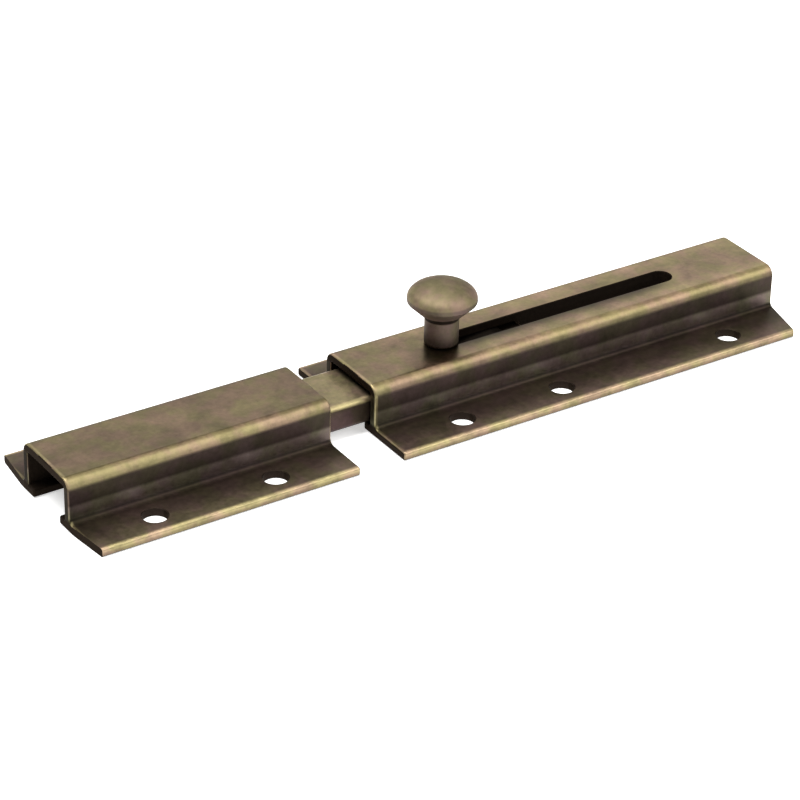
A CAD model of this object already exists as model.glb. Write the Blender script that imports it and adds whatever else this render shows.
import math

import bpy
from mathutils import Matrix, Vector

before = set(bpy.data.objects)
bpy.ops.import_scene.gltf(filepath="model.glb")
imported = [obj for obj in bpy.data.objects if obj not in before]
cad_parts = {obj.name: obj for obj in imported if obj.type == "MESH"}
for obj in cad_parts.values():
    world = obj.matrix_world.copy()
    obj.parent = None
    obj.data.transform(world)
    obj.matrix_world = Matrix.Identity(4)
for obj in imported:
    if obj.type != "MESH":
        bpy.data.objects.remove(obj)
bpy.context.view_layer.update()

MM = 0.001

# Colours of the antique finish, as scene-linear reflectance
TOP = (0.205, 0.154, 0.090, 1)
SIDE = (0.078, 0.060, 0.050, 1)
FOOT = (0.125, 0.105, 0.088, 1)
FLANGE_INNER = (0.055, 0.041, 0.031, 1)
FLANGE_OUTER = (0.140, 0.108, 0.078, 1)
END_FACE = (0.095, 0.082, 0.062, 1)
BRIGHT = (0.50, 0.40, 0.24, 1)
BAR_TOP = (0.270, 0.210, 0.138, 1)
BAR_SIDE = (0.052, 0.036, 0.031, 1)
KNOB_TOP = (0.190, 0.150, 0.101, 1)
KNOB_SIDE = (0.106, 0.083, 0.066, 1)
SHADE = (0.020, 0.014, 0.010, 1)

# Tints that mottle the finish
OLIVE = (0.95, 1.02, 0.83)
MAUVE = (1.07, 0.96, 1.05)

# Tint of the reflection at a glancing angle, on level faces, on walls and on cut ends
LEVEL_SHEEN = (1, 1, 1, 1)
WALL_SHEEN = (0.80, 0.76, 0.74, 1)
CUT_SHEEN = (0.62, 0.60, 0.58, 1)

# Leaf spring and floor
STEEL_DARK = (0.035, 0.028, 0.022, 1)
STEEL_LIGHT = (0.075, 0.060, 0.045, 1)
PAPER_DARK = (0.88, 0.88, 0.87, 1)
PAPER_LIGHT = (0.92, 0.92, 0.91, 1)

# Roughness of the crown's polished top, of the satin finish elsewhere and of the dulled knob
POLISHED = 0.23
SATIN = 0.37
DULL = 0.56

# How far each kind of wear goes, from none at 0 to bare metal at 1, and the housing's share
# of the wear on the long bends
CORNER_WEAR = 0.7
SHOULDER_WEAR = 0.58
HOUSING_SHOULDER = 0.62
LIP_WEAR = (0.35, 0.85)
EDGE_WEAR = 0.7
ARRIS_WEAR = 0.42
RIM_WEAR = (0.26, 0.42)
KNOB_WEAR = 0.12
WEAR_RADIUS = 0.30 * MM
KNOB_WEAR_RADIUS = 0.15 * MM

# The covers' own places: x along the bolt, out from its middle, and up
HOUSING_END = -14.3 * MM
KEEPER_END = -75.0 * MM
CROWN_BAND = (5.4 * MM, 7.4 * MM)
CROWN_UNDERSIDE = 8.2 * MM
INNER_HALF = 6.6 * MM
WALL_MIDDLE = 5.0 * MM
MIDDLE_REACH = 2.6 * MM
FOOT_STRIPE = 3.6 * MM
LIP_BAND = (16.90 * MM, 17.55 * MM)
LIP_RISE = (0.5 * MM, 1.4 * MM)
HOLES = (-61.2 * MM, -37.5 * MM, 1.2 * MM, 22.9 * MM, 60.9 * MM)
HOLE_ROW = 13.0 * MM
HOLE_REACH = 2.5 * MM
SLOT_REACH = 2.3 * MM
RIM_REACH = 0.45 * MM

# Stretch along the bolt over which the keeper's tones give way to the housing's
HANDOVER = (-40 * MM, -20 * MM)

# The knob: its place when locked, the mark before it, the corner under its head, and its foot
KNOB_X = 5.0 * MM
MARK_REACH = 1.8 * MM
NECK_BAND = (15.1 * MM, 16.1 * MM)
FOOT_BAND = (10.0 * MM, 13.5 * MM)

# The bar's part that stays under the slot
TAIL_BAND = (-10 * MM, -3 * MM)

# Camera
YAW = math.radians(33.54)
PITCH = math.radians(30.0)
ROLL = math.radians(1.21)
CAMERA_DISTANCE = 575.3 * MM
PAN = -3.02 * MM
RISE = -0.65 * MM
LENS = 143.2

# Strength of the studio's even light and of the light that comes through the floor
WORLD_LIGHT = 0.18
FLOOR_GLOW = 0.6


# ---------------------------------------------------------------- node helpers


class Shader:
    """A material's node tree, with short calls for the nodes that the metals share."""

    def __init__(self, name):
        self.material = bpy.data.materials.new(name)
        self.material.use_nodes = True
        self.tree = self.material.node_tree
        self.bsdf = self.tree.nodes["Principled BSDF"]
        self.coordinates = self.tree.nodes.new("ShaderNodeTexCoord")
        self.geometry = self.tree.nodes.new("ShaderNodeNewGeometry")

    def put(self, socket, value):
        if isinstance(value, bpy.types.NodeSocket):
            self.tree.links.new(value, socket)
        else:
            socket.default_value = value

    def math(self, operation, first, second=0.0, third=0.0):
        node = self.tree.nodes.new("ShaderNodeMath")
        node.operation = operation
        for socket, value in zip(node.inputs, (first, second, third)):
            self.put(socket, value)
        return node.outputs[0]

    def less(self, value, amount):
        return self.math("SUBTRACT", value, amount)

    def times(self, first, second):
        return self.math("MULTIPLY", first, second)

    def size(self, value):
        return self.math("ABSOLUTE", value)

    def graded(self, mask, gain, start):
        """A mask scaled by a gain, from a start value."""
        return self.math("MULTIPLY_ADD", mask, gain, start)

    def ramp(self, value, low, high, to_low=0.0, to_high=1.0):
        """Smooth step of a value between low and high."""
        node = self.tree.nodes.new("ShaderNodeMapRange")
        node.interpolation_type = "SMOOTHSTEP"
        for socket, number in zip(node.inputs, (value, low, high, to_low, to_high)):
            self.put(socket, number)
        return node.outputs["Result"]

    def within(self, value, limit, soft):
        """High where the size of a value is below a limit, fading over a soft margin."""
        return self.ramp(self.size(value), limit + soft, limit)

    def all_of(self, *masks):
        result = masks[0]
        for mask in masks[1:]:
            result = self.times(result, mask)
        return result

    def any_of(self, *masks):
        result = masks[0]
        for mask in masks[1:]:
            result = self.math("MAXIMUM", result, mask)
        return result

    def none_of(self, mask):
        return self.math("SUBTRACT", 1.0, mask)

    def split(self, vector):
        node = self.tree.nodes.new("ShaderNodeSeparateXYZ")
        self.put(node.inputs[0], vector)
        return node.outputs

    def normal(self):
        return self.split(self.geometry.outputs["Normal"])

    def place(self):
        return self.split(self.coordinates.outputs["Object"])

    def noise(self, scale, detail=3.0, roughness=0.5, stretch=(1, 1, 1), distortion=0.0):
        """Noise whose grains are about 1/scale metres across."""
        mapping = self.tree.nodes.new("ShaderNodeMapping")
        self.put(mapping.inputs["Vector"], self.coordinates.outputs["Object"])
        mapping.inputs["Scale"].default_value = stretch
        node = self.tree.nodes.new("ShaderNodeTexNoise")
        self.put(node.inputs["Vector"], mapping.outputs[0])
        node.inputs["Scale"].default_value = scale
        node.inputs["Detail"].default_value = detail
        node.inputs["Roughness"].default_value = roughness
        node.inputs["Distortion"].default_value = distortion
        return node.outputs["Fac"]

    def mix(self, factor, first, second):
        node = self.tree.nodes.new("ShaderNodeMix")
        node.data_type = "RGBA"
        factor_socket, first_socket, second_socket = node.inputs[0], node.inputs[6], node.inputs[7]
        self.put(factor_socket, factor)
        self.put(first_socket, first)
        self.put(second_socket, second)
        return node.outputs[2]

    def tone(self, colour, amount, tint=(1, 1, 1)):
        """A colour made lighter or darker by an amount, and shifted towards a tint."""
        tinted = self.tree.nodes.new("ShaderNodeVectorMath")
        tinted.operation = "MULTIPLY"
        self.put(tinted.inputs[0], colour if isinstance(colour, bpy.types.NodeSocket) else colour[:3])
        tinted.inputs[1].default_value = tint
        scale = self.tree.nodes.new("ShaderNodeVectorMath")
        scale.operation = "SCALE"
        self.put(scale.inputs[0], tinted.outputs[0])
        self.put(scale.inputs["Scale"], amount)
        return scale.outputs[0]

    def edge_wear(self, radius):
        """High where the surface turns within a small radius, as on a rubbed edge."""
        bevel = self.tree.nodes.new("ShaderNodeBevel")
        bevel.samples = 6
        bevel.inputs["Radius"].default_value = radius
        dot = self.tree.nodes.new("ShaderNodeVectorMath")
        dot.operation = "DOT_PRODUCT"
        self.put(dot.inputs[0], bevel.outputs[0])
        self.put(dot.inputs[1], self.geometry.outputs["True Normal"])
        return self.ramp(dot.outputs["Value"], 0.995, 0.90)

    def bump(self, height, distance, strength, normal=None):
        node = self.tree.nodes.new("ShaderNodeBump")
        node.inputs["Strength"].default_value = strength
        node.inputs["Distance"].default_value = distance
        self.put(node.inputs["Height"], height)
        if normal is not None:
            self.put(node.inputs["Normal"], normal)
        return node.outputs[0]


# ---------------------------------------------------------------- the antique finish


def finish_brass(shader, body, worn, dark=None, rough=SATIN):
    """Mottle a brass body colour, rub it back where worn is high and add its fine relief."""
    cloud = shader.noise(150, 4, 0.62, distortion=0.6)
    blotch = shader.ramp(shader.noise(210, 3, 0.55), 0.36, 0.64)
    speck = shader.noise(1100, 3, 0.65)
    fine = shader.noise(4200, 2, 0.5)
    patchy = shader.ramp(shader.noise(330, 4, 0.65), 0.30, 0.62)

    body = shader.tone(body, shader.graded(cloud, 1.30, 0.35))
    body = shader.tone(body, shader.graded(speck, 0.70, 0.65))
    body = shader.mix(blotch, shader.tone(body, 1.0, OLIVE), shader.tone(body, 1.0, MAUVE))
    rubbed = shader.mix(blotch, shader.tone(BRIGHT, 1.0, OLIVE), shader.tone(BRIGHT, 1.0, MAUVE))
    rubbed = shader.tone(rubbed, shader.graded(speck, 0.60, 0.70))
    worn = shader.times(worn, shader.graded(patchy, 0.40, 0.60))
    colour = shader.mix(worn, body, rubbed)
    rough = shader.math("MULTIPLY_ADD", speck, 0.18, rough)
    if dark is not None:
        grime = shader.tone(SHADE, shader.graded(speck, 0.8, 0.6))
        colour = shader.mix(dark, colour, grime)
        rough = shader.math("MULTIPLY_ADD", dark, 0.25, rough)

    relief = shader.bump(speck, 0.06 * MM, 0.35)
    relief = shader.bump(fine, 0.02 * MM, 0.30, relief)
    shader.put(shader.bsdf.inputs["Base Color"], colour)
    shader.put(shader.bsdf.inputs["Roughness"], rough)
    shader.put(shader.bsdf.inputs["Normal"], relief)
    shader.bsdf.inputs["Metallic"].default_value = 1.0


def bar_brass(name, top, side):
    """Plain pieces: one colour on level faces, another on upright ones, black under the slot."""
    shader = Shader(name)
    up = shader.normal()[2]
    body = shader.mix(shader.ramp(up, 0.30, 0.95), side, top)
    body = shader.tone(body, shader.ramp(shader.place()[0], *TAIL_BAND, 1.0, 0.12))
    corner = shader.all_of(shader.ramp(up, 0.15, 0.50), shader.ramp(up, 0.985, 0.86))
    worn = shader.any_of(shader.edge_wear(WEAR_RADIUS), shader.times(corner, CORNER_WEAR))
    finish_brass(shader, body, worn)
    return shader.material


def knob_brass(name):
    """The turned knob: an evenly dulled dome, dark in the corner under it and towards its foot."""
    shader = Shader(name)
    up = shader.normal()[2]
    height = shader.place()[2]
    body = shader.mix(shader.ramp(up, 0.05, 0.35), KNOB_SIDE, KNOB_TOP)
    body = shader.tone(body, shader.ramp(height, *FOOT_BAND, 0.45, 1.0))
    body = shader.tone(body, shader.ramp(up, 0.70, 0.99, 1.30, 0.88))
    corner = shader.within(shader.less(height, sum(NECK_BAND) / 2), 0.40 * MM, 0.40 * MM)
    worn = shader.times(shader.edge_wear(KNOB_WEAR_RADIUS), KNOB_WEAR)
    finish_brass(shader, body, worn, corner, DULL)
    return shader.material


# ---------------------------------------------------------------- the pressed covers


class Cover(Shader):
    """The covers' finish, with the places that its parts share."""

    def __init__(self, name):
        super().__init__(name)
        normal = self.normal()
        self.along, self.side, self.height = self.place()
        self.outward = self.size(self.side)
        self.up = normal[2]
        self.across = self.size(normal[0])
        self.high = self.ramp(self.height, *CROWN_BAND)
        self.end_face = self.ramp(self.across, 0.80, 0.97)
        self.middle = self.within(self.less(self.height, WALL_MIDDLE), MIDDLE_REACH, 0.8 * MM)
        below_crown = self.ramp(self.height, CROWN_UNDERSIDE + 0.1 * MM, CROWN_UNDERSIDE)
        self.inside = self.all_of(self.within(self.side, INNER_HALF, 0.05 * MM), below_crown)
        self.in_hole = self.any_of(*[self.around_hole(x) for x in HOLES])
        self.in_slot = self.all_of(self.within(self.side, SLOT_REACH, 0.15 * MM), self.high)

    def around_hole(self, x):
        along = self.less(self.along, x)
        across = self.less(self.outward, HOLE_ROW)
        square = self.math("MULTIPLY_ADD", along, along, self.times(across, across))
        return self.ramp(self.math("SQRT", square), HOLE_REACH + 0.2 * MM, HOLE_REACH)

    def near_end(self, x):
        return self.within(self.less(self.along, x), RIM_REACH, 0.35 * MM)


def crown_colour(cover):
    """The crown: paler towards the housing's right end, grimy by the slot and before the knob."""
    crown = cover.tone(TOP, cover.ramp(cover.along, -40 * MM, 50 * MM, 0.80, 1.08))
    outer_strips = cover.ramp(cover.outward, 2.2 * MM, 7.5 * MM)
    handled = cover.all_of(outer_strips, cover.ramp(cover.along, -20 * MM, 0.0))
    crown = cover.tone(crown, cover.graded(handled, 0.45, 1.0))

    front_of_slot = cover.ramp(cover.side, -5.2 * MM, -1.9 * MM)
    front_half = cover.ramp(cover.side, 0.0, -1.0 * MM)
    past_knob = cover.ramp(cover.along, 2 * MM, 8 * MM)
    before_slot_end = cover.ramp(cover.along, 57 * MM, 50 * MM)
    beside_slot = cover.all_of(front_of_slot, front_half, past_knob, before_slot_end)
    crown = cover.tone(crown, cover.graded(beside_slot, -0.75, 1.0))

    aside = cover.less(cover.along, KNOB_X)
    lead = cover.math("MULTIPLY_ADD", aside, -math.sin(YAW), cover.times(cover.side, -math.cos(YAW)))
    sway = cover.math("MULTIPLY_ADD", aside, math.cos(YAW), cover.times(cover.side, -math.sin(YAW)))
    knob_mark = cover.all_of(cover.within(sway, MARK_REACH, 2.4 * MM),
                             cover.ramp(lead, 0.0, 3 * MM),
                             cover.ramp(lead, 9 * MM, 5 * MM))
    return cover.tone(crown, cover.graded(knob_mark, -0.36, 1.0))


def wall_colour(cover):
    """The upright walls, darker below and towards the housing's right end."""
    wall = cover.tone(SIDE, cover.ramp(cover.height, 3.8 * MM, 7.5 * MM, 0.45, 0.60))
    return cover.tone(wall, cover.ramp(cover.along, 10 * MM, 60 * MM, 1.0, 0.80))


def foot_stripe(cover):
    """The pale stripe low on the walls."""
    stripe = cover.within(cover.less(cover.height, FOOT_STRIPE), 0.8 * MM, 0.9 * MM)
    by_the_wall = cover.ramp(cover.outward, 12.0 * MM, 11.0 * MM)
    return cover.all_of(stripe, cover.ramp(cover.up, 0.6, 0.3), by_the_wall)


def cover_colour(cover, foot):
    """Crown, flanges, walls, the bend at their foot and the middle of the cut ends."""
    flange = cover.mix(cover.ramp(cover.outward, 11.0 * MM, 17.0 * MM), FLANGE_INNER, FLANGE_OUTER)
    level = cover.mix(cover.high, flange, crown_colour(cover))
    body = cover.mix(cover.ramp(cover.up, 0.30, 0.95), wall_colour(cover), level)
    body = cover.mix(foot, body, FOOT)

    foot_bend = cover.all_of(cover.ramp(cover.up, 0.05, 0.30),
                             cover.ramp(cover.up, 0.999, 0.95),
                             cover.ramp(cover.height, 3.0 * MM, 2.5 * MM),
                             cover.ramp(cover.outward, 10.0 * MM, 9.3 * MM))
    body = cover.tone(body, cover.graded(foot_bend, -0.40, 1.0))
    exposed = cover.all_of(cover.ramp(cover.along, *HANDOVER, 0.12, 0.9),
                           cover.ramp(cover.side, 0.0, -4 * MM, 0.2, 1.0))
    return cover.mix(cover.all_of(cover.end_face, cover.middle), body, cover.tone(END_FACE, exposed))


def cover_dark(cover):
    """Holes, slot, underside, inside and the sheared ends of the crown and flanges."""
    upright = cover.ramp(cover.up, 0.93, 0.75)
    bored = cover.times(cover.all_of(cover.in_hole, upright), 0.7)
    slot_wall = cover.all_of(cover.in_slot, upright)
    underside = cover.ramp(cover.up, -0.2, -0.6)
    sheared = cover.all_of(cover.end_face, cover.none_of(cover.middle))
    return cover.any_of(bored, slot_wall, cover.inside, underside, sheared)


def shoulder_mask(cover):
    """The long bends beside the crown, softer on the housing than on the keeper."""
    bend = cover.all_of(cover.high, cover.ramp(cover.up, 0.05, 0.38), cover.ramp(cover.up, 0.965, 0.78))
    return cover.all_of(bend,
                        cover.ramp(cover.outward, 4.5 * MM, 6.0 * MM),
                        cover.ramp(cover.along, -30 * MM, 0.0, 1.0, HOUSING_SHOULDER))


def cover_wear(cover, shoulder, foot):
    """Rubbed bends, flange lips, edges, and the rims at the covers' left ends."""
    solid = cover.none_of(cover.any_of(cover.in_hole, cover.in_slot))
    outside = cover.none_of(cover.inside)
    lip = cover.all_of(cover.ramp(cover.outward, *LIP_BAND),
                       cover.ramp(cover.across, 0.6, 0.2),
                       cover.ramp(cover.height, *LIP_RISE, *LIP_WEAR))
    edge = cover.all_of(cover.edge_wear(WEAR_RADIUS), solid, cover.ramp(cover.up, 0.15, 0.45),
                        cover.none_of(foot), cover.ramp(cover.across, 0.10, 0.30))
    arris = cover.all_of(cover.ramp(cover.across, 0.12, 0.40),
                         cover.ramp(cover.across, 0.95, 0.80),
                         cover.ramp(cover.up, -0.3, 0.0),
                         solid, outside, cover.ramp(cover.along, *HANDOVER, 0.25, 1.0))

    keeper_end = cover.all_of(cover.near_end(KEEPER_END), cover.ramp(cover.up, 0.4, 0.8))
    rim = cover.all_of(cover.any_of(cover.near_end(HOUSING_END), keeper_end),
                       cover.ramp(cover.across, 0.9, 0.7),
                       outside, cover.ramp(cover.up, -0.2, 0.0))
    rim_wear = cover.graded(cover.high, RIM_WEAR[1] - RIM_WEAR[0], RIM_WEAR[0])
    return cover.any_of(cover.times(shoulder, SHOULDER_WEAR), lip, cover.times(rim, rim_wear),
                        cover.times(edge, EDGE_WEAR), cover.times(arris, ARRIS_WEAR))


def cover_brass(name):
    """The pressed covers: crown, walls, flanges, rubbed bends and lips, dark cut faces and insides."""
    cover = Cover(name)
    foot = foot_stripe(cover)
    shoulder = shoulder_mask(cover)
    level_top = cover.all_of(cover.high, cover.ramp(cover.up, 0.97, 0.995))
    rough = cover.graded(level_top, POLISHED - SATIN, SATIN)
    rough = cover.math("MULTIPLY_ADD", shoulder, 0.10, rough)
    sheen = cover.mix(cover.ramp(cover.up, 0.5, 0.1), LEVEL_SHEEN, WALL_SHEEN)
    cover.put(cover.bsdf.inputs["Specular Tint"], cover.mix(cover.end_face, sheen, CUT_SHEEN))
    colour = cover_colour(cover, foot)
    finish_brass(cover, colour, cover_wear(cover, shoulder, foot), cover_dark(cover), rough)
    return cover.material


# ---------------------------------------------------------------- leaf spring and floor


def spring_steel():
    """Blackened, oiled strip with rolling marks along its length."""
    shader = Shader("spring_steel")
    rolled = shader.noise(500, 3, 0.6, (0.08, 1, 1))
    stain = shader.noise(160, 3, 0.6)
    shader.put(shader.bsdf.inputs["Base Color"], shader.mix(stain, STEEL_DARK, STEEL_LIGHT))
    shader.put(shader.bsdf.inputs["Roughness"], shader.graded(rolled, 0.2, 0.25))
    shader.put(shader.bsdf.inputs["Normal"], shader.bump(rolled, 0.03 * MM, 0.3))
    shader.bsdf.inputs["Metallic"].default_value = 1.0
    return shader.material


def floor_paper():
    """Plain pale paper with a faint tooth, lit softly through from below like a light table."""
    shader = Shader("floor_paper")
    colour = shader.mix(shader.noise(60, 3, 0.5), PAPER_DARK, PAPER_LIGHT)
    shader.put(shader.bsdf.inputs["Base Color"], colour)
    shader.put(shader.bsdf.inputs["Emission Color"], colour)
    shader.bsdf.inputs["Roughness"].default_value = 0.9
    shader.bsdf.inputs["Specular IOR Level"].default_value = 0.1
    shader.bsdf.inputs["Emission Strength"].default_value = FLOOR_GLOW
    return shader.material


# ---------------------------------------------------------------- materials on the CAD nodes

materials = {
    "housing": cover_brass("cover_brass"),
    "bolt": bar_brass("bar_brass", BAR_TOP, BAR_SIDE),
    "knob": knob_brass("knob_brass"),
    "knob_screw": bar_brass("screw_brass", TOP, TOP),
    "friction_spring": spring_steel(),
}
materials["keeper"] = materials["housing"]
for node, material in materials.items():
    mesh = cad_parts[node].data
    mesh.materials.clear()
    mesh.materials.append(material)


# ---------------------------------------------------------------- floor, lights and camera


def make_floor():
    mesh = bpy.data.meshes.new("floor")
    reach = 3.0
    corners = [(-reach, -reach, 0), (reach, -reach, 0), (reach, reach, 0), (-reach, reach, 0)]
    mesh.from_pydata(corners, [], [(0, 1, 2, 3)])
    mesh.materials.append(floor_paper())
    floor = bpy.data.objects.new("floor", mesh)
    floor.location.z = -0.05 * MM
    bpy.context.collection.objects.link(floor)


def area_light(name, direction, distance, size, power):
    """A rectangular soft box that faces the origin from a direction."""
    light = bpy.data.lights.new(name, "AREA")
    light.shape = "RECTANGLE"
    light.size, light.size_y = size
    light.energy = power
    lamp = bpy.data.objects.new(name, light)
    away = Vector(direction).normalized()
    lamp.location = away * distance
    lamp.rotation_euler = away.to_track_quat("Z", "Y").to_euler()
    bpy.context.collection.objects.link(lamp)


def make_camera():
    """A long lens from the front left, looking down on the bolt."""
    back = Vector((-math.sin(YAW) * math.cos(PITCH), -math.cos(YAW) * math.cos(PITCH), math.sin(PITCH)))
    level = (-back).cross(Vector((0, 0, 1))).normalized()
    upright = level.cross(-back)
    right = level * math.cos(ROLL) + upright * math.sin(ROLL)
    top = upright * math.cos(ROLL) - level * math.sin(ROLL)
    data = bpy.data.cameras.new("camera")
    data.sensor_width = 36.0
    data.lens = LENS
    data.clip_start = 0.01
    data.clip_end = 20.0
    camera = bpy.data.objects.new("camera", data)
    place = back * CAMERA_DISTANCE + right * PAN + top * RISE
    camera.matrix_world = Matrix.Translation(place) @ Matrix((right, top, back)).transposed().to_4x4()
    bpy.context.collection.objects.link(camera)
    bpy.context.scene.camera = camera


def make_world():
    world = bpy.data.worlds.new("studio")
    world.use_nodes = True
    background = world.node_tree.nodes["Background"]
    background.inputs["Color"].default_value = (1.0, 0.99, 0.97, 1)
    background.inputs["Strength"].default_value = WORLD_LIGHT
    bpy.context.scene.world = world


make_floor()
make_camera()
make_world()
area_light("key", (0.48, -0.60, 0.64), 0.9, (0.6, 0.50), 4.4)
area_light("back", (0.45, 0.75, 0.52), 1.0, (0.9, 0.45), 1.5)
area_light("top", (-0.2, 0.1, 1.0), 1.2, (0.9, 0.9), 24.0)
bpy.context.scene.view_settings.view_transform = "Standard"
